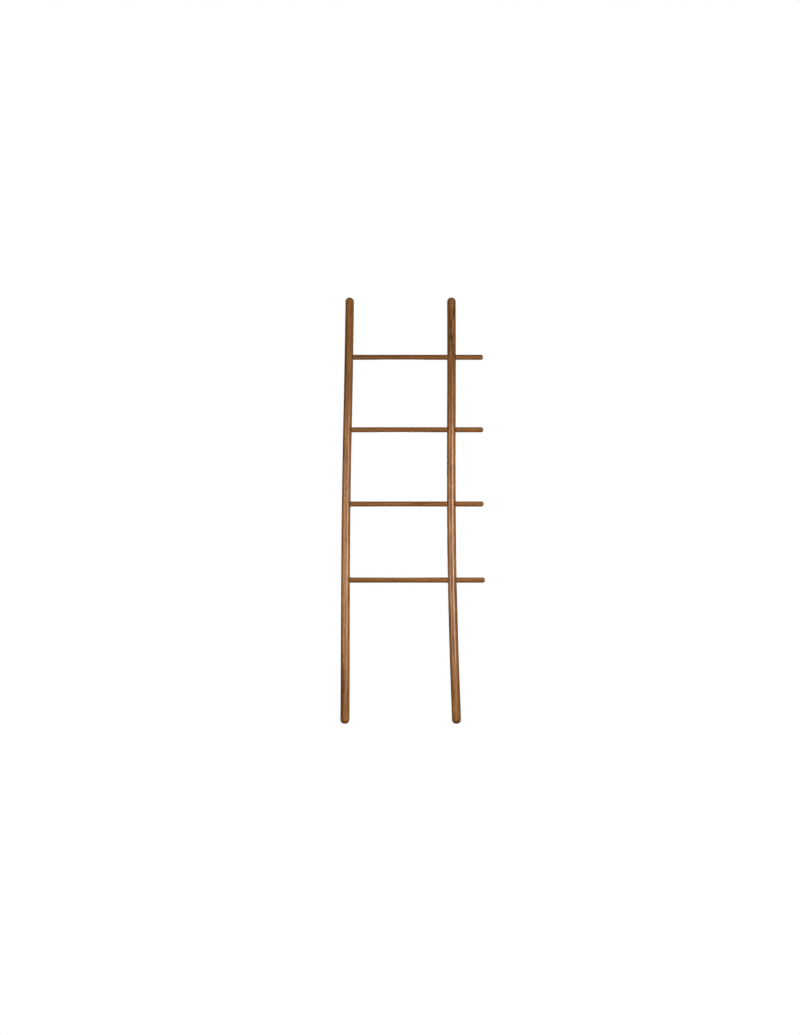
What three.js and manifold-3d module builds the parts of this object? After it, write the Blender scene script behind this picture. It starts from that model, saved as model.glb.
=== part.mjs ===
// A leaning ladder rack: two round posts joined by four round rungs that run on past the right post as pegs.
// Millimetres. +Z is up along the posts, +X points along the pegs, +Y is the back, towards the wall.
// The origin is the middle of the rack's bounding box, at floor level.

import * as THREE from "three";
import { mergeVertices } from "three/addons/utils/BufferGeometryUtils.js";
import Module from "manifold-3d";

const wasm = await Module();
wasm.setup();

// ---- Driving dimensions ----

const POST_LENGTH = 1566;
const POST_DIAMETER = 32;
const POST_SPACING = 381; // between the posts' axes
const POST_END_FLAT = 4; // width of the flat that each domed end of a post keeps

const RUNG_DIAMETER = 19;
const RUNG_NAMES = ["bottom", "lower", "upper", "top"];
const FOOT_ROOM = 504.5; // floor to the axis of the lowest rung
const HEAD_ROOM = 231.5; // axis of the top rung to the posts' tips
const PEG_LENGTH = 101; // from the right post's outer side to the peg's tip
const PEG_END_FLAT = 3;
const TENON_CHAMFER = 1;
const SOCKET_WALL = 8; // wood left between a socket's bottom and the left post's outer side

const PIN_DIAMETER = 5;
const PIN_END_ROUND = 0.6;
const PIN_FRONT_SKIN = 4; // wood left in front of a pin's hole
const PIN_BACK_INSET = 0.4; // how far a pin's end lies below the post's back

const FIT_GAP = 0.3; // between any two pieces that touch

// The posts are bent a little, both in the same way. These are the sideways offsets of their axes at
// heights that are evenly spaced from the feet to the tips.
const POST_BEND = new THREE.SplineCurve(
  [3, -1.5, -4, -2.9, 0.6, 2.7].map((offset, index) => new THREE.Vector2(index, offset)),
);
// Each foot also stands further out than its post does higher up.
const FOOT_SPLAY = 5;
const SPLAY_HEIGHT = 700; // where the splay begins

// ---- Fineness of the solids ----

const POST_SIDES = 32; // a multiple of four, so that a side faces straight back
const RUNG_SIDES = 24;
const PIN_SIDES = 12;
const ROUND_STEP = 2; // how much of a rounding's radius one of its steps takes
const BEND_STEP = 60; // height of one straight stretch of a bent post
const WELD = 1e-4;

// ---- Derived sizes ----

const POST_RADIUS = POST_DIAMETER / 2;
const RUNG_RADIUS = RUNG_DIAMETER / 2;
const PIN_RADIUS = PIN_DIAMETER / 2;
const RUNG_PITCH = (POST_LENGTH - FOOT_ROOM - HEAD_ROOM) / (RUNG_NAMES.length - 1);

const LEFT = -1;
const RIGHT = 1;

const rungHeight = (index) => FOOT_ROOM + index * RUNG_PITCH;

// X of a post's axis at height z.
function postAxis(side, z) {
  const splay = FOOT_SPLAY * Math.max(0, 1 - z / SPLAY_HEIGHT) ** 2;
  const alongPost = THREE.MathUtils.clamp(z / POST_LENGTH, 0, 1);
  return side * (POST_SPACING / 2 + splay) + POST_BEND.getPoint(alongPost).y;
}

// ---- Round stock ----

// A quarter circle that rounds the edge of a rod's end, from the end's flat to the rod's side.
function endRounding(radius, rounding) {
  const steps = Math.ceil(rounding / ROUND_STEP);
  const points = [];
  for (let step = 0; step <= steps; step += 1) {
    const angle = (step / steps) * (Math.PI / 2);
    points.push(
      new THREE.Vector2(radius - rounding * (1 - Math.sin(angle)), rounding * (1 - Math.cos(angle))),
    );
  }
  return points;
}

// A rod along +Z from z = 0. Its sides are flats, set so that four of them face along X and Y, and
// radius is measured to the flats.
function rod({ radius, length, startRound, endRound, sides, stretches = 1 }) {
  const start = endRounding(radius, startRound);
  const end = endRounding(radius, endRound).map((point) => new THREE.Vector2(point.x, length - point.y));
  const straight = length - startRound - endRound;
  const middle = [];
  for (let step = 1; step < stretches; step += 1) {
    middle.push(new THREE.Vector2(radius, startRound + (straight * step) / stretches));
  }
  const profile = [
    new THREE.Vector2(0, 0),
    ...start,
    ...middle,
    ...end.reverse(),
    new THREE.Vector2(0, length),
  ];
  const geometry = new THREE.LatheGeometry(profile, sides, Math.PI / sides);
  const cornersOut = 1 / Math.cos(Math.PI / sides);
  return geometry.scale(cornersOut, 1, cornersOut).rotateX(Math.PI / 2);
}

// A plain cylinder to cut with, along +Z from z = 0, with its flats placed as a rod's are.
function cutter(radius, length, sides) {
  const cornersOut = 1 / Math.cos(Math.PI / sides);
  const geometry = new THREE.CylinderGeometry(radius * cornersOut, radius * cornersOut, length, sides);
  return geometry.rotateY(Math.PI / sides).rotateX(Math.PI / 2).translate(0, 0, length / 2);
}

// ---- Solids ----

function toSolid(geometry) {
  const bare = geometry.clone();
  bare.deleteAttribute("normal");
  bare.deleteAttribute("uv");
  const welded = mergeVertices(bare, WELD);
  const triangles = [];
  for (let first = 0; first < welded.index.count; first += 3) {
    const corners = [0, 1, 2].map((corner) => welded.index.getX(first + corner));
    if (new Set(corners).size === corners.length) triangles.push(...corners);
  }
  return new wasm.Manifold(
    new wasm.Mesh({
      numProp: 3,
      vertProperties: Float32Array.from(welded.attributes.position.array),
      triVerts: Uint32Array.from(triangles),
    }),
  );
}

function toGeometry(solid) {
  const { vertProperties, triVerts } = solid.getMesh();
  const geometry = new THREE.BufferGeometry();
  geometry.setAttribute("position", new THREE.BufferAttribute(vertProperties, 3));
  geometry.setIndex(new THREE.BufferAttribute(triVerts, 1));
  return geometry;
}

function cutAll(geometry, cutters) {
  const body = toSolid(geometry);
  const holes = cutters.map(toSolid);
  return toGeometry(holes.reduce((rest, hole) => rest.subtract(hole), body));
}

// ---- Holes ----

// The hole for one cross pin. It starts behind the post and stops short of the post's front.
function pinHole(side, z) {
  const front = -POST_RADIUS + PIN_FRONT_SKIN;
  return cutter(PIN_RADIUS + FIT_GAP, 2 * POST_RADIUS, PIN_SIDES)
    .rotateX(-Math.PI / 2)
    .translate(postAxis(side, z), front, z);
}

const socketBottom = (z) => postAxis(LEFT, z) - POST_RADIUS + SOCKET_WALL;

function rungHole(startX, z) {
  return cutter(RUNG_RADIUS + FIT_GAP, 2 * POST_DIAMETER, RUNG_SIDES)
    .rotateY(Math.PI / 2)
    .translate(startX, 0, z);
}

// ---- Pieces ----

const WOOD = {
  post: { color: 0x875730, roughness: 0.42 },
  rung: { color: 0x7d4f2b, roughness: 0.48 },
  pin: { color: 0x694024, roughness: 0.6 },
};

function piece(name, geometry, wood) {
  const material = new THREE.MeshStandardMaterial({ ...WOOD[wood], metalness: 0 });
  const mesh = new THREE.Mesh(geometry, material);
  mesh.name = name;
  return mesh;
}

function bendPost(geometry, side) {
  const position = geometry.attributes.position;
  for (let index = 0; index < position.count; index += 1) {
    const offset = postAxis(side, position.getZ(index));
    position.setX(index, position.getX(index) + offset);
  }
  return geometry;
}

function post(name, side) {
  const blank = rod({
    radius: POST_RADIUS,
    length: POST_LENGTH,
    startRound: POST_RADIUS - POST_END_FLAT / 2,
    endRound: POST_RADIUS - POST_END_FLAT / 2,
    sides: POST_SIDES,
    stretches: Math.round(POST_LENGTH / BEND_STEP),
  });
  const holes = RUNG_NAMES.flatMap((_, index) => {
    const z = rungHeight(index);
    const startX = side === LEFT ? socketBottom(z) : postAxis(side, z) - POST_DIAMETER;
    return [rungHole(startX, z), pinHole(side, z)];
  });
  return piece(name, cutAll(bendPost(blank, side), holes), "post");
}

function rung(name, z) {
  const startX = socketBottom(z) + FIT_GAP;
  const tipX = postAxis(RIGHT, z) + POST_RADIUS + PEG_LENGTH;
  const blank = rod({
    radius: RUNG_RADIUS,
    length: tipX - startX,
    startRound: TENON_CHAMFER,
    endRound: RUNG_RADIUS - PEG_END_FLAT / 2,
    sides: RUNG_SIDES,
  });
  blank.rotateY(Math.PI / 2).translate(startX, 0, z);
  return piece(name, cutAll(blank, [pinHole(LEFT, z), pinHole(RIGHT, z)]), "rung");
}

function crossPin(name, side, z) {
  const front = -POST_RADIUS + PIN_FRONT_SKIN + FIT_GAP;
  const back = POST_RADIUS - PIN_BACK_INSET;
  const blank = rod({
    radius: PIN_RADIUS,
    length: back - front,
    startRound: PIN_END_ROUND,
    endRound: PIN_END_ROUND,
    sides: PIN_SIDES,
  });
  blank.rotateX(-Math.PI / 2).translate(postAxis(side, z), front, z);
  return piece(name, blank, "pin");
}

// ---- Assembly ----

const ladder = new THREE.Group();
ladder.name = "ladder_rack";
ladder.add(post("left_post", LEFT), post("right_post", RIGHT));
RUNG_NAMES.forEach((name, index) => {
  const z = rungHeight(index);
  ladder.add(
    rung(`rung_${name}`, z),
    crossPin(`pin_left_${name}`, LEFT, z),
    crossPin(`pin_right_${name}`, RIGHT, z),
  );
});

// The pegs make one side longer than the other, so the whole rack moves until its box is centred.
const box = new THREE.Box3().setFromObject(ladder);
ladder.position.x = -(box.min.x + box.max.x) / 2;

export default ladder;
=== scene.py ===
"""Looks of a leaning ladder rack: posts, rungs and pins of brown stained hardwood under satin varnish.

Metres, in the frame of the CAD model: +Z up along the posts, +X towards the tips of the pegs and +Y
to the back.
"""

from itertools import product
import math

import bpy
import numpy as np
from mathutils import Color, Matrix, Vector, noise


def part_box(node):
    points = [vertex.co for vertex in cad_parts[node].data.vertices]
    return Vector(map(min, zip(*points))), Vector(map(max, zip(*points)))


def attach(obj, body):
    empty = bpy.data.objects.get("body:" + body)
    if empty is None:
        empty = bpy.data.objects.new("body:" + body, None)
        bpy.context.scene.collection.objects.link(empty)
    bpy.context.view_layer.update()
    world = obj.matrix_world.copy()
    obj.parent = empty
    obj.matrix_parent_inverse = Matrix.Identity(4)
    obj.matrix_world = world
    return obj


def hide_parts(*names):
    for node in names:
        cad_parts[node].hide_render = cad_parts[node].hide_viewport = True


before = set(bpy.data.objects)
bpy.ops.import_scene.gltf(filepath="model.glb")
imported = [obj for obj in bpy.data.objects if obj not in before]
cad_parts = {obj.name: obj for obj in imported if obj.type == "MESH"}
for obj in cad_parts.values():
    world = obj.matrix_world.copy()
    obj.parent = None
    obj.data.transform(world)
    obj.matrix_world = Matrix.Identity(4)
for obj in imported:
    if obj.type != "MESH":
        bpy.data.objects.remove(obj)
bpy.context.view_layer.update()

RUNGS = ("bottom", "lower", "upper", "top")
SIDES = ("left", "right")
X, Y, Z = range(3)
RIGHT, BACK, LEFT = range(3)  # quarter turns round a post, from +X towards +Y

# ---- Camera ----

LOOK_UP = math.radians(9.45)  # the rack leans back from the camera by this angle
FOOT_DEPTH = 3.6  # from the camera to the feet, along the view
FOOT_DROP = 0.7217  # how far the feet lie below the middle of the view
LENS = 35.78  # millimetres
VIEW_REACH = 100


def middle_of(node):
    low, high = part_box(node)
    return (Vector(low) + Vector(high)) / 2


def middle_between_posts():
    return (middle_of("left_post").x + middle_of("right_post").x) / 2


def add_camera():
    """The camera stands low in front of the feet and looks up, square to the middle of the posts."""
    camera = bpy.data.objects.new("camera", bpy.data.cameras.new("camera"))
    bpy.context.collection.objects.link(camera)
    bpy.context.scene.camera = camera
    camera.data.lens = LENS
    middle = middle_between_posts()
    ahead = Vector((0, math.cos(LOOK_UP), math.sin(LOOK_UP)))
    up = Vector((0, -math.sin(LOOK_UP), math.cos(LOOK_UP)))
    camera.location = Vector((middle, 0, 0)) - ahead * FOOT_DEPTH + up * FOOT_DROP
    camera.rotation_euler = (math.pi / 2 + LOOK_UP, 0, 0)
    camera.data.clip_end = VIEW_REACH


add_camera()

# ---- Shader graphs ----

# The sockets of a Mix node that are for colours. Those for numbers and vectors have the same names.
MIX_FACTOR = 0
MIX_FIRST = 6
MIX_SECOND = 7
MIX_RESULT = 2


class Amount:
    """A number or a colour that varies over a surface. Arithmetic on a number adds Math nodes."""

    def __init__(self, graph, socket):
        self.graph = graph
        self.socket = socket

    def __add__(self, other):
        return self.graph.math("ADD", self, other)

    def __sub__(self, other):
        return self.graph.math("SUBTRACT", self, other)

    def __rsub__(self, other):
        return self.graph.math("SUBTRACT", other, self)

    def __mul__(self, other):
        return self.graph.math("MULTIPLY", self, other)

    def __truediv__(self, other):
        return self.graph.math("DIVIDE", self, other)

    def __pow__(self, other):
        return self.graph.math("POWER", self, other)

    __radd__ = __add__
    __rmul__ = __mul__


class Graph:
    """A node tree, and the ways to put nodes into it."""

    def __init__(self, tree):
        self.tree = tree

    def add(self, kind, settings=None, inputs=None, output=0):
        """Adds a node. Its settings are set first, then its sockets get values or links."""
        node = self.tree.nodes.new(kind)
        for key, value in (settings or {}).items():
            if key == "stops":
                self.set_stops(node.color_ramp, value)
            else:
                setattr(node, key, value)
        for key, value in (inputs or {}).items():
            self.feed(node.inputs[key], value)
        return Amount(self, node.outputs[output])

    def feed(self, socket, value):
        if isinstance(value, Amount):
            self.tree.links.new(value.socket, socket)
        else:
            socket.default_value = value

    def set_stops(self, ramp, stops):
        while len(ramp.elements) < len(stops):
            ramp.elements.new(1)
        for element, (position, color) in zip(ramp.elements, stops):
            element.position = position
            element.color = color

    def math(self, operation, *values):
        return self.add("ShaderNodeMath", {"operation": operation}, dict(enumerate(values)))

    def vector(self, x, y, z):
        return self.add("ShaderNodeCombineXYZ", inputs={"X": x, "Y": y, "Z": z})

    def part(self, vector, axis):
        """One of a vector's three numbers."""
        return self.add("ShaderNodeSeparateXYZ", inputs={"Vector": vector}, output=axis)

    def noise(self, place, detail, roughness=0.5, distortion=0):
        """Noise whose spots are about one unit of the place across."""
        inputs = {
            "Vector": place,
            "Scale": 1,
            "Detail": detail,
            "Roughness": roughness,
            "Distortion": distortion,
        }
        return self.add("ShaderNodeTexNoise", inputs=inputs)

    def step(self, value, low, high):
        """0 below low, 1 above high and smooth between them."""
        inputs = {"Value": value, "From Min": low, "From Max": high}
        return self.add("ShaderNodeMapRange", {"interpolation_type": "SMOOTHSTEP"}, inputs)

    def ramp(self, value, stops):
        return self.add("ShaderNodeValToRGB", {"stops": stops}, {"Fac": value})

    def mix(self, amount, first, second):
        """Mixes two colours."""
        inputs = {MIX_FACTOR: amount, MIX_FIRST: first, MIX_SECOND: second}
        return self.add("ShaderNodeMix", {"data_type": "RGBA"}, inputs, MIX_RESULT)

    def attribute(self, name):
        return self.add("ShaderNodeAttribute", {"attribute_name": name}, output="Fac")


class Finish(Graph):
    """A material round one Principled shader."""

    def __init__(self, name):
        self.material = bpy.data.materials.new(name)
        self.material.use_nodes = True
        super().__init__(self.material.node_tree)
        self.sockets = self.tree.nodes["Principled BSDF"].inputs

    def paint(self, looks):
        """Gives the shader's sockets values or links."""
        for name, value in looks.items():
            self.feed(self.sockets[name], value)


def colour(red, green, blue):
    """A shader colour from the three values that a paint chip is read at, 0 to 255."""
    chip = Color((red / 255, green / 255, blue / 255))
    return (*chip.from_srgb_to_scene_linear(), 1)


# ---- Round pieces ----

COLUMNS = 24  # on each quarter of a post
ROW = 0.005  # length of one row of faces on a plain stretch
DOME_ROWS = 14
BAND = 0.0144  # half the height of the finer rows at a rung
BAND_ROWS = 20
MOUTH_RINGS = 6  # rings of faces between such a band's edge and a hole
CROWDING = 1.4  # above 1, these rings crowd towards the hole
EASE = 0.0006  # rounding of a hole's edge
EASE_RINGS = 4
WHOLE_RING = 1.99  # radii across. A ring of the CAD post that a hole cuts into is narrower
SAME_HEIGHT = 5  # decimals of a metre in which the vertices of one such ring agree
SANDING = 0.00012  # depth of the shallow waves that hand sanding leaves
POST_WAVES = 1.3  # waves round a post for each one round a rung
WAVES_ALONG = 9  # in each metre of a piece
WAVES_APART = 7  # sets each rung's waves apart from those of the rungs at other heights
JOINT_SHADE_REACH = 0.0022  # how far the painted shade at a joint spreads


class Shell:
    """Vertices and faces of one piece, with how much painted shade each vertex gets at the joints."""

    def __init__(self):
        self.points = []
        self.grime = []
        self.faces = []

    def add(self, point, grime=0.0):
        self.points.append(point)
        self.grime.append(grime)
        return len(self.points) - 1

    def bridge(self, ring, following):
        """Joins two closed rings of as many vertices each."""
        count = len(ring)
        for i in range(count):
            j = (i + 1) % count
            self.faces.append((ring[i], ring[j], following[j], following[i]))

    def close(self, ring, centre):
        """Closes a ring with a fan of triangles."""
        for i in range(len(ring)):
            self.faces.append((ring[i], ring[(i + 1) % len(ring)], centre))

    def finish(self, name, material, slot, node):
        """Makes the object and puts it in the CAD node's place."""
        mesh = bpy.data.meshes.new(name)
        mesh.from_pydata([tuple(point) for point in self.points], [], self.faces)
        mesh.validate()
        mesh.polygons.foreach_set("use_smooth", [True] * len(mesh.polygons))
        # Painted shade at the joints and in the holes, one value for each vertex.
        mesh.attributes.new("grime", "FLOAT", "POINT").data.foreach_set("value", self.grime)
        mesh.materials.append(material)
        piece = bpy.data.objects.new(name, mesh)
        bpy.context.collection.objects.link(piece)
        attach(piece, "root")
        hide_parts(node)


def dome(radius, flat, rows=DOME_ROWS):
    """(distance from the end, radius) of each ring of a rounded end, from its flat to the full rod."""
    rounding = radius - flat
    angles = [step / rows * math.pi / 2 for step in range(rows + 1)]
    return [(rounding * (1 - math.cos(a)), flat + rounding * math.sin(a)) for a in angles]


def rows_between(start, end, longest):
    count = max(1, math.ceil((end - start) / longest))
    return list(np.linspace(start, end, count + 1))


def sanded_down(radius, turn, waves, along):
    """The radius less the depth of the sanding at this turn and place along the piece."""
    wave = noise.noise(Vector((math.cos(turn) * waves, math.sin(turn) * waves, along)))
    return radius - SANDING * (1 + wave) / 2


def joint_shade_near(distance):
    """Painted shade by distance from a joint, 1 at the joint and in it."""
    return math.exp(-max(0.0, distance) / JOINT_SHADE_REACH)


# ---- Posts ----


class Bend:
    """A smooth curve through known middles: X by height."""

    def __init__(self, heights, middles):
        self.heights = heights
        self.middles = middles
        self.slopes = np.gradient(middles, heights)

    def __call__(self, height):
        i = int(np.clip(np.searchsorted(self.heights, height) - 1, 0, len(self.heights) - 2))
        step = self.heights[i + 1] - self.heights[i]
        part = min(1.0, max(0.0, (height - self.heights[i]) / step))
        rest = 1 - part
        return float(
            self.middles[i] * (1 + 2 * part) * rest**2
            + self.slopes[i] * step * part * rest**2
            + self.middles[i + 1] * (1 + 2 * rest) * part**2
            - self.slopes[i + 1] * step * rest * part**2
        )


class Hole:
    """A round hole in a post. side counts quarter turns from +X towards +Y, and depth is from the skin
    at the hole's middle, or None where the hole runs on to the one opposite."""

    def __init__(self, side, height, radius, depth=None):
        self.side = side
        self.height = height
        self.radius = radius
        self.depth = depth
        turn = side * math.pi / 2
        self.out = np.array((math.cos(turn), math.sin(turn)))
        self.across = np.array((-math.sin(turn), math.cos(turn)))


class Post:
    """A bent round post, as a grid of rows and columns with a patch of rings round each hole."""

    def __init__(self, node, holes):
        self.node = node
        self.holes = holes
        self.shell = Shell()
        low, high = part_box(node)
        self.bottom, self.top = low[Z], high[Z]
        self.radius = (high[Y] - low[Y]) / 2
        self.axis = self.read_axis()
        self.rows = self.lay_out_rows()
        self.grid = {}

    def read_axis(self):
        """The middles of the CAD solid's whole rings, as a smooth curve."""
        points = np.array([vertex.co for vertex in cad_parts[self.node].data.vertices])
        heights = points[:, Z].round(SAME_HEIGHT)
        rings = [points[heights == height] for height in np.unique(heights)]
        least = self.radius * WHOLE_RING
        whole = [ring for ring in rings if min(np.ptp(ring[:, X]), np.ptp(ring[:, Y])) > least]
        middles = [(ring[:, X].min() + ring[:, X].max()) / 2 for ring in whole]
        return Bend(np.array([ring[0, Z] for ring in whole]), np.array(middles))

    def lay_out_rows(self):
        """(height, radius) of every row, from the ring round the foot's flat to the one at the tip."""
        foot = [(self.bottom + along, radius) for along, radius in dome(self.radius, END_FLAT)]
        tip = [(self.top - along, radius) for along, radius in dome(self.radius, END_FLAT)]
        start = foot[-1][0]
        heights = []
        for height in sorted({hole.height for hole in self.holes}):
            heights += rows_between(start, height - BAND, ROW)[1:]
            heights += rows_between(height - BAND, height + BAND, 2 * BAND / BAND_ROWS)[1:]
            start = height + BAND
        heights += rows_between(start, tip[-1][0], ROW)[1:-1]
        return foot + [(height, self.radius) for height in heights] + tip[::-1]

    def skin(self, turn, height, radius):
        """A point on the post's outside, lowered a little by sanding."""
        sanded = sanded_down(radius, turn, POST_WAVES, height * WAVES_ALONG)
        return (self.axis(height) + sanded * math.cos(turn), sanded * math.sin(turn), height)

    def joint_shade_at(self, point):
        """Painted shade round the mouths of the holes."""
        return joint_shade_near(min(self.mouth_distance(hole, point) for hole in self.holes))

    def mouth_distance(self, hole, point):
        """How far a point on the skin is from a hole's wall, seen straight into the hole."""
        place = np.array((point[X] - self.axis(point[Z]), point[Y]))
        if place @ hole.out < 0:
            return math.inf
        return math.hypot(place @ hole.across, point[Z] - hole.height) - hole.radius

    def turn_of(self, column):
        """The columns start an eighth of a turn before +X, so each side of a post has a quarter."""
        return (column / COLUMNS - 0.5) * math.pi / 2

    def vertex(self, row, column):
        key = (row, column % (4 * COLUMNS))
        if key not in self.grid:
            point = self.skin(self.turn_of(key[1]), *self.rows[row])
            self.grid[key] = self.shell.add(point, self.joint_shade_at(point))
        return self.grid[key]

    def ring(self, row):
        return [self.vertex(row, column) for column in range(4 * COLUMNS)]

    def patch_edge(self, hole):
        """Rows and columns along the edge of a hole's patch, anticlockwise from its lower left corner."""
        heights = np.array([row[0] for row in self.rows])
        low = int(np.argmin(abs(heights - (hole.height - BAND))))
        high = int(np.argmin(abs(heights - (hole.height + BAND))))
        left = hole.side * COLUMNS
        right = left + COLUMNS
        edge = [(low, column) for column in range(left, right)]
        edge += [(row, right) for row in range(low, high)]
        edge += [(high, column) for column in range(right, left, -1)]
        edge += [(row, left) for row in range(high, low, -1)]
        return (low, high), edge

    def hole_point(self, hole, angle, radius, outward):
        """A point of a hole's wall. outward is measured from the post's axis."""
        across = radius * math.cos(angle)
        height = hole.height + radius * math.sin(angle)
        place = hole.out * outward + hole.across * across
        return (self.axis(height) + place[X], place[Y], height)

    def cut(self, hole, edge):
        """Rings from the patch's edge to the hole's mouth, over its rounded edge and down its wall.
        Returns the wall's last ring and the angle of each of its vertices."""
        turns = [self.turn_of(column) - hole.side * math.pi / 2 for _, column in edge]
        heights = [self.rows[row][0] for row, _ in edge]
        angles = [
            math.atan2(height - hole.height, self.radius * math.sin(turn))
            for turn, height in zip(turns, heights)
        ]
        ring = [self.vertex(row, column) for row, column in edge]
        mouth = hole.radius + EASE
        for layer in range(1, MOUTH_RINGS + 1):
            share = 1 - (1 - layer / MOUTH_RINGS) ** CROWDING
            following = []
            for turn, height, angle in zip(turns, heights, angles):
                rim_turn = math.asin(mouth * math.cos(angle) / self.radius)
                rim_height = hole.height + mouth * math.sin(angle)
                spot_turn = turn + (rim_turn - turn) * share
                spot_height = height + (rim_height - height) * share
                point = self.skin(spot_turn + hole.side * math.pi / 2, spot_height, self.radius)
                following.append(self.shell.add(point, self.joint_shade_at(point)))
            self.shell.bridge(ring, following)
            ring = following
        # The rounded edge and the wall of a hole are in full painted shade.
        for layer in range(1, EASE_RINGS + 1):
            over = layer / EASE_RINGS * math.pi / 2
            radius = hole.radius + EASE * (1 - math.sin(over))
            sunk = EASE * (1 - math.cos(over)) + SANDING
            following = []
            for angle in angles:
                outward = math.sqrt(self.radius**2 - (radius * math.cos(angle)) ** 2) - sunk
                point = self.hole_point(hole, angle, radius, outward)
                following.append(self.shell.add(point, 1.0))
            self.shell.bridge(ring, following)
            ring = following
        return ring, angles

    def bottom_out(self, hole, ring, angles):
        """The flat bottom of a blind hole, in full painted shade."""
        outward = self.radius - hole.depth
        points = [self.hole_point(hole, angle, hole.radius, outward) for angle in angles]
        following = [self.shell.add(point, 1.0) for point in points]
        self.shell.bridge(ring, following)
        centre = self.shell.add(self.hole_point(hole, 0, 0, outward), 1.0)
        self.shell.close(following, centre)

    def join_through(self, first, second):
        """Joins the walls of two holes that face each other. Their rings start at opposite lower corners
        and run opposite ways round."""
        mirrored = [second[COLUMNS - i] for i in range(len(second))]
        self.shell.bridge(first, mirrored)

    def build(self, material, slot):
        """Lays the grid but for the patches, closes the two ends, and cuts the holes."""
        patches = []
        for hole in self.holes:
            patches.append((hole, *self.patch_edge(hole)))
        for row in range(len(self.rows) - 1):
            for column in range(4 * COLUMNS):
                if any(
                    low <= row < high and hole.side == column // COLUMNS
                    for hole, (low, high), _ in patches
                ):
                    continue
                self.shell.faces.append((
                    self.vertex(row, column),
                    self.vertex(row, column + 1),
                    self.vertex(row + 1, column + 1),
                    self.vertex(row + 1, column),
                ))
        for row, height in ((0, self.bottom), (len(self.rows) - 1, self.top)):
            centre = self.shell.add((self.axis(height), 0, height))
            ring = self.ring(row)
            self.shell.close(ring[::-1] if row == 0 else ring, centre)
        through = {}
        for hole, _, edge in patches:
            ring, angles = self.cut(hole, edge)
            if hole.depth is None:
                through.setdefault(hole.height, []).append(ring)
            else:
                self.bottom_out(hole, ring, angles)
        for first, second in through.values():
            self.join_through(first, second)
        self.shell.finish(f"{self.node}_wood", material, slot, self.node)


# ---- Rungs and pins ----


class Rod:
    """A straight round piece along one axis of the frame."""

    def __init__(self, node, along, rows, columns):
        self.node = node
        self.along = along
        self.rows = rows
        self.columns = columns
        self.middle = middle_of(node)
        self.shell = Shell()

    def point(self, place, radius, turn):
        if radius:
            shift = self.middle.z * WAVES_APART
            radius = sanded_down(radius, turn, 1, place * WAVES_ALONG + shift)
        offset = {
            X: (place - self.middle.x, radius * math.cos(turn), radius * math.sin(turn)),
            Y: (radius * math.sin(turn), place - self.middle.y, radius * math.cos(turn)),
        }[self.along]
        return self.middle + Vector(offset)

    def build(self, material, slot, grime):
        """Lays the rings and closes the two ends. The last argument gives the painted shade at each
        point.
        """
        rings = []
        for place, radius in self.rows:
            turns = [2 * math.pi * column / self.columns for column in range(self.columns)]
            ring = [self.point(place, radius, turn) for turn in turns]
            rings.append([self.shell.add(point, grime(point)) for point in ring])
        for ring, following in zip(rings, rings[1:]):
            self.shell.bridge(ring, following)
        ends = (rings[0][::-1], rings[-1])
        for ring, (place, _) in zip(ends, (self.rows[0], self.rows[-1])):
            centre = self.point(place, 0, 0)
            self.shell.close(ring, self.shell.add(centre, grime(centre)))
        self.shell.finish(f"{self.node}_wood", material, slot, self.node)


# ---- Wood ----

MM = 1000  # shader maths on the wood is in millimetres

# Pale, middle and deep shades of the stained wood, and where they lie from pale to deep.
POST_SHADES = (colour(183, 125, 68), colour(141, 88, 45), colour(87, 47, 24))
RUNG_SHADES = (colour(150, 97, 50), colour(112, 70, 36), colour(67, 40, 21))
MIDDLE_SHADE = 0.42
SHADE_STOPS = (0, MIDDLE_SHADE, 1)
PORE = colour(40, 24, 14)
STREAK = colour(37, 21, 14)
# Colour of the painted shade at the joints.
JOINT_SHADE_COLOUR = colour(36, 22, 13)
GREYED = colour(122, 98, 78)

# Noise in spots of about this width and length with the grain, then its detail, roughness and
# distortion. A pattern's place in the list keeps it apart from the others of its piece.
PATTERNS = {
    "drift": (33, 455, 2, 0.5, 0),
    "waver": (6.3, 91, 3, 0.5, 0),
    "blotch": (20, 83, 3, 0.5, 0),
    "ribbon": (2.4, 120, 3, 0.6, 0),
    "fibre": (0.59, 28.6, 4, 0.65, 0),
    "fine": (0.18, 6.3, 2, 0.6, 0),
    "pores": (0.29, 11.8, 1, 0.4, 0),
    "streaks": (3, 222, 3, 0.55, 0),
    "broken": (1.1, 2, 2, 0.5, 0),
    "rubbed": (9, 83, 3, 0.5, 0),
    "uneven": (4, 20, 1, 0.5, 0),
    "figure": (7.1, 133, 3, 0.6, 0.4),
    "ragged": (1.8, 33, 3, 0.6, 0),
    "flecks": (1.9, 38, 2, 0.5, 0),
}
# How far apart in the noise two pieces, and two patterns of one piece, are taken.
PIECES_APART = 17.3
PATTERNS_APART = 5.1
APART_ALONG = 0.7  # share of both that is taken along the grain

# Growth rings: their width, how far they drift and waver, the shares of a ring's width between which
# its late wood comes and goes, and how strong that is.
POST_RING = 3.4
RUNG_RING = 2.6
PIN_RING = 1.4
RING_DRIFT = 9
RING_WAVER = 1.6
LATE_WOOD_COMES = (0.35, 0.93)
LATE_WOOD_GOES = (0.95, 1)
FAINTEST_RING = 0.1
RING_CONTRAST = 1.3
RINGS_APART = 3.7  # how far apart in the noise the strengths of two rings are taken
OFF_GRID = 0.5  # noise says little at whole numbers

# How strongly late wood and the patterns deepen the stain.
LATE_DEPTH = 0.34
DEPTHS = {"blotch": -0.9, "figure": 1.5, "ribbon": 1.15, "fibre": 0.75, "fine": 0.35}

# The two values between which a pattern comes up. End grain goes by how squarely a face looks along it.
PORES_RANGE = (0.655, 0.72)
STREAKS_RANGE = (0.6, 0.76)
FLECKS_RANGE = (0.55, 0.68)
END_GRAIN_RANGE = (0.45, 0.98)
# Shares of a ring's width between which its wood closes up, and the share of the pores that it loses.
CLOSING_RANGE = (0.25, 0.8)
PORES_LOST = 0.6
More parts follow.
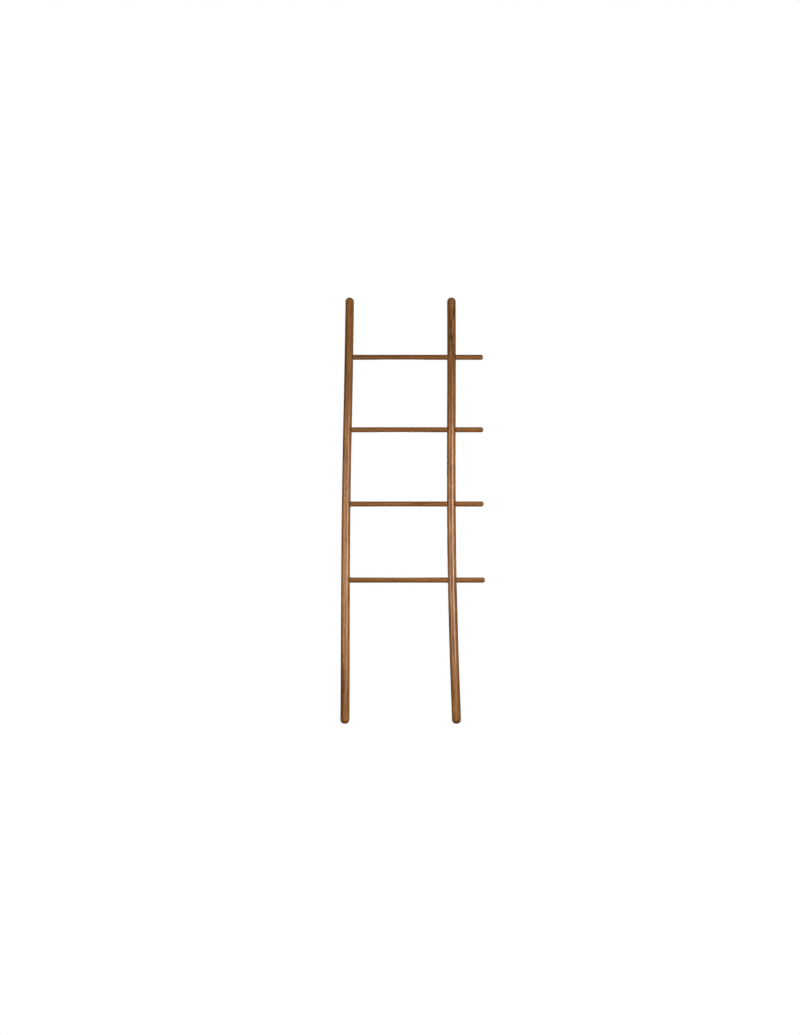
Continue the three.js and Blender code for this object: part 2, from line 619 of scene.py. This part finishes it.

# How much of the wood's colour each of these covers, the painted shade at the joints among them.
FLECKS_COVER = 0.34
STREAKS_COVER = 0.55
PORES_COVER = 0.62
END_GRAIN_COVER = 0.45
JOINT_SHADE_COVER = 0.8
KNOT_COVER = 0.85
UPPER_COVER = 0.3

# Millimetres from a piece's middle between which a post's upper part, its tip and a rung's peg begin.
UPPER_RANGE = (120, 420)
TIP_RANGE = (500, 740)
PEG_RANGE = (90, 140)
TIP_SPARED = 0.8  # share of the upper part's darkening that the tip is spared

# Marks and knots on a post's skin. 1 is the edge of their oval, which runs out along the fibres.
RAGGED = 2.2
SIDE_RANGE = (0, 4)  # millimetres from the post's axis between which the marked side begins
MARK_FADE = (0.3, 1)
MARK_GRAIN = {"fibre": 0.6, "fine": 0.4}
MARK_GRAIN_RANGE = (0.4, 0.58)
MARK_LOST = 0.7  # share of a mark that is lost between the fibres
KNOT_LENGTH = 3.4  # times its size
KNOT_WIDTH = 2
KNOT_EYE_FADE = (0.35, 0.75)
KNOT_HALO_FADE = (0.8, 3.2)
KNOT_RIPPLES = 9
KNOT_RIPPLE_DEPTH = 0.7
KNOT_HALO = 0.6

# The varnish, and how much each thing roughens it, thins it or stands out under it, the painted shade at
# the joints among them.
ROUGHNESS = 0.38
ROUGHNESS_SWINGS = {"rubbed": 0.22, "fibre": 0.1}
PORES_ROUGHEN = 0.2
JOINT_SHADE_ROUGHENS = 0.25
COAT_SWING = 0.4
PORES_THIN = 0.7
JOINT_SHADE_THINS = 0.8
SPECULAR = 0.1
COAT_ROUGHNESS = 0.2
COAT_IOR = 1.6
RELIEF = {"fibre": 0.35, "fine": 0.25, "uneven": 0.8}
PORES_SINK = 0.9
RELIEF_STRENGTH = 0.55
RELIEF_DEPTH = 0.00022  # metres
# How much the painted shade at the joints is broken up, and the values between which it comes up.
JOINT_SHADE_BREAKS = 0.7
JOINT_SHADE_RANGE = (0.2, 0.95)


class Wood(Finish):
    """Stained solid wood. across and beside are millimetres from the piece's own axis, and along runs
    with the grain, so rings, fibres and pores go right through the piece and show as such at its ends."""

    def __init__(self, name, grain, middle, seed, pith, ring):
        super().__init__(name)
        self.seed = seed
        self.patterns = {}
        place = self.add("ShaderNodeTexCoord", output="Object")
        normal = self.add("ShaderNodeTexCoord", output="Normal")
        x, y, z = ((self.part(place, axis) - middle[axis]) * MM for axis in range(3))
        self.across, self.beside, self.along = {X: (y, z, x), Y: (x, z, y), Z: (x, y, z)}[grain]
        self.end_grain = self.step(self.math("ABSOLUTE", self.part(normal, grain)), *END_GRAIN_RANGE)
        self.late, share = self.rings(pith, ring)
        open_wood = 1 - self.step(share, *CLOSING_RANGE) * PORES_LOST
        self.pores = self.step(self.pattern("pores"), *PORES_RANGE) * open_wood

    def pattern(self, name):
        """One of the patterns, made when it is first asked for."""
        if name not in self.patterns:
            width, length, *noise_settings = PATTERNS[name]
            number = list(PATTERNS).index(name) + 1
            offset = self.seed * PIECES_APART + number * PATTERNS_APART
            place = self.vector(
                self.across * (1 / width) + offset,
                self.beside * (1 / width) - offset,
                self.along * (1 / length) + offset * APART_ALONG,
            )
            self.patterns[name] = self.noise(place, *noise_settings)
        return self.patterns[name]

    def swing(self, name, strength):
        """A pattern, whose middle is 0.5, as a swing to either side of 0."""
        return (self.pattern(name) - 0.5) * strength

    def sum_of(self, strengths):
        """The patterns named in a table, each by its strength."""
        return sum(self.pattern(name) * strength for name, strength in strengths.items())

    def sum_of_swings(self, strengths):
        return sum(self.swing(name, strength) for name, strength in strengths.items())

    def length_of(self, first, second):
        """Length of the hypotenuse over two sides."""
        return self.math("SQRT", first**2 + second**2)

    def rings(self, pith, width):
        """Growth rings round a pith that lies outside the piece: pale early wood, then a dark line.
        Returns how dark the late wood is, and the share of its own ring's width."""
        from_pith = self.length_of(self.across - pith[0], self.beside - pith[1])
        count = (from_pith + self.swing("drift", RING_DRIFT) + self.swing("waver", RING_WAVER)) / width
        share = self.math("FRACT", count)
        late = self.step(share, *LATE_WOOD_COMES) * (1 - self.step(share, *LATE_WOOD_GOES))
        # Each ring's strength is noise at a place of its own.
        draw = self.vector(self.math("FLOOR", count) * RINGS_APART, self.seed, OFF_GRID)
        return late * (self.noise(draw, 0) * RING_CONTRAST + FAINTEST_RING), share

    def from_place(self, height, turn, length, width):
        """Distance on a post's skin from the middle of an oval, 1 at its ragged edge, and whether the
        skin is on that side of the post at all."""
        side = self.across * math.cos(turn) + self.beside * math.sin(turn)
        round_the_post = self.across * math.sin(turn) - self.beside * math.cos(turn)
        apart = self.length_of(
            (self.along - height) / (length / 2), round_the_post / (width / 2)
        )
        return apart + self.swing("ragged", RAGGED), self.step(side, *SIDE_RANGE)

    def mark(self, height, turn, length, width):
        """1 in the middle of an oval on a post's skin, fading to 0 at its edge."""
        apart, facing = self.from_place(height, turn, length, width)
        return (1 - self.step(apart, *MARK_FADE)) * facing

    def knot(self, height, turn, size):
        """A pin knot on a post's skin: a dark eye, and rings that flow round it and fade."""
        apart, facing = self.from_place(height, turn, size * KNOT_LENGTH, size * KNOT_WIDTH)
        eye = 1 - self.step(apart, *KNOT_EYE_FADE)
        ripple = (self.math("SINE", apart * KNOT_RIPPLES) + 1) / 2
        halo = (1 - self.step(apart, *KNOT_HALO_FADE)) * (1 - (1 - ripple) * KNOT_RIPPLE_DEPTH)
        return self.math("MAXIMUM", eye, halo * KNOT_HALO) * facing

    def stain(self, tone, shades):
        """The colour of the stained wood, paler the higher its tone."""
        depth = self.late * LATE_DEPTH + self.sum_of_swings(DEPTHS) + (MIDDLE_SHADE - tone)
        flecks = self.step(self.pattern("flecks"), *FLECKS_RANGE)
        streaks = self.step(self.pattern("streaks"), *STREAKS_RANGE)
        base = self.ramp(depth, list(zip(SHADE_STOPS, shades)))
        base = self.mix(flecks * FLECKS_COVER, base, shades[-1])
        base = self.mix(streaks * STREAKS_COVER, base, STREAK)
        base = self.mix(self.pores * PORES_COVER, base, PORE)
        return self.mix(self.end_grain * END_GRAIN_COVER, base, shades[-1])

    def varnish(self, base, gloss):
        """Satin varnish over the stain: it fills the fibres and leaves the pores open."""
        # Painted shade at the joints, broken up a little. It darkens the colour and also roughens and
        # thins the varnish there.
        shade_at_joints = self.attribute("grime") * (1 + self.swing("broken", JOINT_SHADE_BREAKS))
        shade_at_joints = self.step(shade_at_joints, *JOINT_SHADE_RANGE)
        rough = ROUGHNESS + self.sum_of_swings(ROUGHNESS_SWINGS)
        coat = (1 + self.swing("rubbed", COAT_SWING)) * (1 + self.swing("fibre", COAT_SWING))
        relief = self.sum_of(RELIEF) - self.pores * PORES_SINK
        raised = {"Strength": RELIEF_STRENGTH, "Distance": RELIEF_DEPTH, "Height": relief}
        self.paint({
            "Base Color": self.mix(shade_at_joints * JOINT_SHADE_COVER, base, JOINT_SHADE_COLOUR),
            "Roughness": rough + self.pores * PORES_ROUGHEN + shade_at_joints * JOINT_SHADE_ROUGHENS,
            "Specular IOR Level": SPECULAR,
            "Coat Weight": coat * (1 - self.pores * PORES_THIN) * (1 - shade_at_joints * JOINT_SHADE_THINS) * gloss,
            "Coat Roughness": COAT_ROUGHNESS,
            "Coat IOR": COAT_IOR,
            "Normal": self.add("ShaderNodeBump", inputs=raised),
        })


def post_wood(node, seed, pith, tone, gloss, marks, knots):
    middle = middle_of(node)
    wood = Wood(f"{node}_stain", Z, middle, seed, pith, POST_RING)
    base = wood.stain(tone, POST_SHADES)
    # Darker above the middle, and less so again at the tips.
    upper = wood.step(wood.along, *UPPER_RANGE) * (1 - wood.step(wood.along, *TIP_RANGE) * TIP_SPARED)
    base = wood.mix(upper * UPPER_COVER, base, POST_SHADES[-1])
    on_fibres = 1 - (1 - wood.step(wood.sum_of(MARK_GRAIN), *MARK_GRAIN_RANGE)) * MARK_LOST
    for height, turn, length, width, shade, amount in marks:
        mark = wood.mark((height - middle.z) * MM, turn, length * MM, width * MM)
        base = wood.mix(mark * on_fibres * amount, base, shade)
    for height, turn, size in knots:
        knot = wood.knot((height - middle.z) * MM, turn, size * MM)
        base = wood.mix(knot * KNOT_COVER, base, STREAK)
    wood.varnish(base, gloss)
    return wood.material


def rung_wood(node, seed, pith, tone, deeper):
    wood = Wood(f"{node}_stain", X, middle_of(node), seed, pith, RUNG_RING)
    base = wood.stain(tone, RUNG_SHADES)
    between_the_posts = 1 - wood.step(wood.along, *PEG_RANGE)
    base = wood.mix(between_the_posts * deeper, base, RUNG_SHADES[-1])
    wood.varnish(base, RUNG_GLOSS)
    return wood.material


def pin_wood(node, seed):
    wood = Wood(f"{node}_stain", Y, middle_of(node), seed, PIN_PITH, PIN_RING)
    wood.varnish(wood.stain(PIN_TONE, RUNG_SHADES), RUNG_GLOSS)
    return wood.material


# ---- The rack ----

END_FLAT = 0.002  # radius of the flat that a post's rounded ends keep
PEG_FLAT = 0.0015
PEG_ROWS = 12
TENON_CHAMFER = 0.001
PIN_ROUNDING = 0.0006
PIN_ROUNDING_ROWS = 3
GLUE_GAP = 0.0003
PIN_HOLE_DEPTH = 0.0055
ROD_ROW = 0.004
RUNG_COLUMNS = 72
PIN_COLUMNS = 32
# Painted shade laid evenly over each pin.
PIN_JOINT_SHADE = 0.25
PIN_PITH = (14, 9)
PIN_TONE = 0.3
RUNG_GLOSS = 0.35  # of the pins too

# Seed of the grain, place of the pith from the post's axis in millimetres, tone and gloss.
POST_LOOKS = {"left": (1, (38, 30), 0.43, 0.68), "right": (2, (-44, 26), 0.29, 0.85)}
# The same for the rungs, but for how much darker a rung is between the posts in the gloss's place.
RUNG_LOOKS = {
    "bottom": (3, (16, 22), 0.6, 0),
    "lower": (4, (-24, 18), 0.48, 0),
    "upper": (5, (20, -20), 0.54, 0.12),
    "top": (6, (-18, -26), 0.68, 0.22),
}
FIRST_PIN_SEED = 7

PALE, _, DEEP = POST_SHADES
FRONT = -math.pi / 2
# Height and turn on a post's skin, length, width, shade and strength of what stands out in its wood.
MARKS = {
    "left": [
        (0.809, FRONT - 0.1, 0.007, 0.026, DEEP, 0.8),
        (0.507, FRONT + 0.3, 0.030, 0.012, GREYED, 0.7),
        (0.090, FRONT - 0.4, 0.300, 0.034, DEEP, 0.35),
        (0.110, FRONT - 0.7, 0.330, 0.020, DEEP, 0.7),
        (1.300, FRONT - 0.8, 0.420, 0.020, DEEP, 0.45),
        (0.900, FRONT + 0.1, 0.240, 0.034, DEEP, 0.35),
        (0.960, FRONT - 0.6, 0.200, 0.016, DEEP, 0.4),
    ],
    "right": [
        (1.530, FRONT + 0.1, 0.070, 0.020, PALE, 0.5),
        (1.505, FRONT + 0.6, 0.075, 0.014, STREAK, 0.7),
        (1.470, FRONT - 0.25, 0.190, 0.010, STREAK, 0.7),
        (1.400, FRONT + 0.1, 0.150, 0.016, STREAK, 0.8),
        (1.385, FRONT - 0.7, 0.110, 0.014, STREAK, 0.8),
        (0.330, FRONT - 0.1, 0.300, 0.034, DEEP, 0.22),
        (0.080, FRONT - 0.3, 0.220, 0.034, PALE, 0.18),
        (0.440, FRONT + 0.6, 0.110, 0.014, STREAK, 0.6),
        (0.413, FRONT + 0.2, 0.030, 0.016, GREYED, 0.7),
        (0.253, FRONT + 0.1, 0.040, 0.016, GREYED, 0.6),
    ],
}
# Height and turn on a post's skin, and size, of the pin knots.
KNOTS = {
    "left": [(1.021, FRONT - 0.5, 0.0020), (0.640, FRONT + 1.1, 0.0024)],
    "right": [
        (1.405, FRONT - 0.05, 0.0026),
        (1.372, FRONT + 0.35, 0.0022),
        (1.445, FRONT - 0.5, 0.0018),
        (0.905, FRONT - 0.3, 0.0018),
        (0.322, FRONT + 0.9, 0.0022),
    ],
}


def holes_in(side):
    """The rungs stop in the left post and go through the right one. The pins come from the back."""
    holes = []
    for name in RUNGS:
        rung_low, rung_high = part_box(f"rung_{name}")
        pin_low, pin_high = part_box(f"pin_{side}_{name}")
        height = (rung_low[Z] + rung_high[Z]) / 2
        rung_hole = (rung_high[Z] - rung_low[Z]) / 2 + GLUE_GAP
        pin_hole = (pin_high[X] - pin_low[X]) / 2 + GLUE_GAP
        if side == "left":
            post_low, post_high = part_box("left_post")
            # The pin stands on the post's axis.
            skin = middle_of(f"pin_left_{name}").x + (post_high[Y] - post_low[Y]) / 2
            holes.append(Hole(RIGHT, height, rung_hole, skin - rung_low[X] + GLUE_GAP))
        else:
            holes.append(Hole(RIGHT, height, rung_hole))
            holes.append(Hole(LEFT, height, rung_hole))
        holes.append(Hole(BACK, height, pin_hole, PIN_HOLE_DEPTH))
    return holes


def make_post(side):
    node = f"{side}_post"
    post = Post(node, holes_in(side))
    post.build(post_wood(node, *POST_LOOKS[side], MARKS[side], KNOTS[side]), "post_wood")
    return post


def plain_rows(start, end, radius):
    """Rows of a rod's full size, between its two ends."""
    return [(place, radius) for place in rows_between(start[-1][0], end[0][0], ROD_ROW)[1:-1]]


def make_rung(name, left, right):
    node = f"rung_{name}"
    low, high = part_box(node)
    height = middle_of(node).z
    radius = (high[Z] - low[Z]) / 2
    tenon = [(low[X], radius - TENON_CHAMFER), (low[X] + TENON_CHAMFER, radius)]
    peg = [(high[X] - along, size) for along, size in dome(radius, PEG_FLAT, PEG_ROWS)][::-1]

    def grime(point):
        """Painted shade along the curved lines where the rung meets the posts."""
        bulge = math.sqrt(right.radius**2 - point.y**2)
        at_left, at_right = left.axis(height), right.axis(height)
        faces = (at_left + bulge, at_right - bulge, at_right + bulge)
        return joint_shade_near(min(abs(point.x - face) for face in faces))

    rod = Rod(node, X, tenon + plain_rows(tenon, peg, radius) + peg, RUNG_COLUMNS)
    rod.build(rung_wood(node, *RUNG_LOOKS[name]), "rung_wood", grime)


def make_pin(side, name, seed):
    node = f"pin_{side}_{name}"
    low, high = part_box(node)
    radius = (high[X] - low[X]) / 2
    rounding = dome(radius, radius - PIN_ROUNDING, PIN_ROUNDING_ROWS)
    inner = [(low[Y] + along, size) for along, size in rounding]
    outer = [(high[Y] - along, size) for along, size in rounding][::-1]
    rod = Rod(node, Y, inner + plain_rows(inner, outer, radius) + outer, PIN_COLUMNS)
    # Each pin gets the same painted shade all over.
    rod.build(pin_wood(node, seed), "pin_wood", lambda point: PIN_JOINT_SHADE)


posts = [make_post(side) for side in SIDES]
for name in RUNGS:
    make_rung(name, *posts)
for seed, (name, side) in enumerate(product(RUNGS, SIDES), FIRST_PIN_SEED):
    make_pin(side, name, seed)

# ---- Studio ----

FLOOR_SIDE = 40
BLACK = (0, 0, 0, 1)
WHITE = (1, 1, 1, 1)
ROOM_TINT = (1, 0.98, 0.96, 1)
ROOM_LIGHT = 0.06

# Each lamp's bearing from the rack's front in degrees, distance, height, height aimed at, size and
# power. Strips show in the varnish's highlights only, and fills light everything but those.
STRIPS = {
    "left": (-44, 2, 0.97, 0.97, (0.2, 1.33), 11),
    "right": (36, 2, 0.97, 0.97, (0.2, 1.33), 23),
    "low": (0, 2, 0.12, 0.12, (1.2, 0.08), 1),
    "back": (180, 2, 0.97, 0.97, (0.24, 1.33), 10),
}
FILLS = {
    "front": (0, 1.3, 0.66, 0.66, (1.4, 0.6), 15),
    "right": (35, 1.5, 0.75, 0.75, (0.6, 0.6), 7),
    "above": (0, 0.8, 2.6, 0.9, (1.4, 0.8), 3),
    "back": (180, 2.2, 0.85, 0.85, (1.4, 1.2), 36),
}


def add_floor():
    """White paper that glows evenly to the camera and throws no light back on the rack."""
    half = FLOOR_SIDE / 2
    mesh = bpy.data.meshes.new("floor")
    corners = [(-half, -half, 0), (half, -half, 0), (half, half, 0), (-half, half, 0)]
    mesh.from_pydata(corners, [], [(0, 1, 2, 3)])
    floor = bpy.data.objects.new("floor", mesh)
    bpy.context.collection.objects.link(floor)
    floor.visible_diffuse = False
    floor.visible_glossy = False
    paper = Finish("white_paper")
    paper.paint({
        "Base Color": BLACK,
        "Specular IOR Level": 0,
        "Emission Color": WHITE,
        "Emission Strength": 1,
    })
    mesh.materials.append(paper.material)


def add_backdrop():
    """White to the camera, and a dim warm room to everything else."""
    world = bpy.data.worlds.new("studio")
    bpy.context.scene.world = world
    world.use_nodes = True
    graph = Graph(world.node_tree)
    room, world_output = (graph.tree.nodes[name] for name in ("Background", "World Output"))
    graph.feed(room.inputs["Color"], ROOM_TINT)
    graph.feed(room.inputs["Strength"], ROOM_LIGHT)
    white = graph.add("ShaderNodeBackground", inputs={"Color": WHITE, "Strength": 1})
    to_camera = graph.add("ShaderNodeLightPath", output="Is Camera Ray")
    choice = {0: to_camera, 1: Amount(graph, room.outputs[0]), 2: white}
    graph.feed(world_output.inputs["Surface"], graph.add("ShaderNodeMixShader", inputs=choice))


def add_lamp(name, bearing, distance, height, aim, size, power):
    """An area lamp aimed at the middle between the posts."""
    lamp = bpy.data.lights.new(name, "AREA")
    lamp.shape = "RECTANGLE"
    lamp.size, lamp.size_y = size
    lamp.energy = power
    holder = bpy.data.objects.new(name, lamp)
    bpy.context.collection.objects.link(holder)
    turn = math.radians(bearing)
    middle = middle_between_posts()
    place = Vector((middle + distance * math.sin(turn), -distance * math.cos(turn), height))
    holder.location = place
    holder.rotation_euler = (Vector((middle, 0, aim)) - place).to_track_quat("-Z", "Y").to_euler()
    return holder


add_floor()
add_backdrop()
for name, settings in STRIPS.items():
    add_lamp(f"strip_{name}", *settings).visible_diffuse = False
for name, settings in FILLS.items():
    add_lamp(f"fill_{name}", *settings).visible_glossy = False
bpy.context.scene.view_settings.view_transform = "Standard"
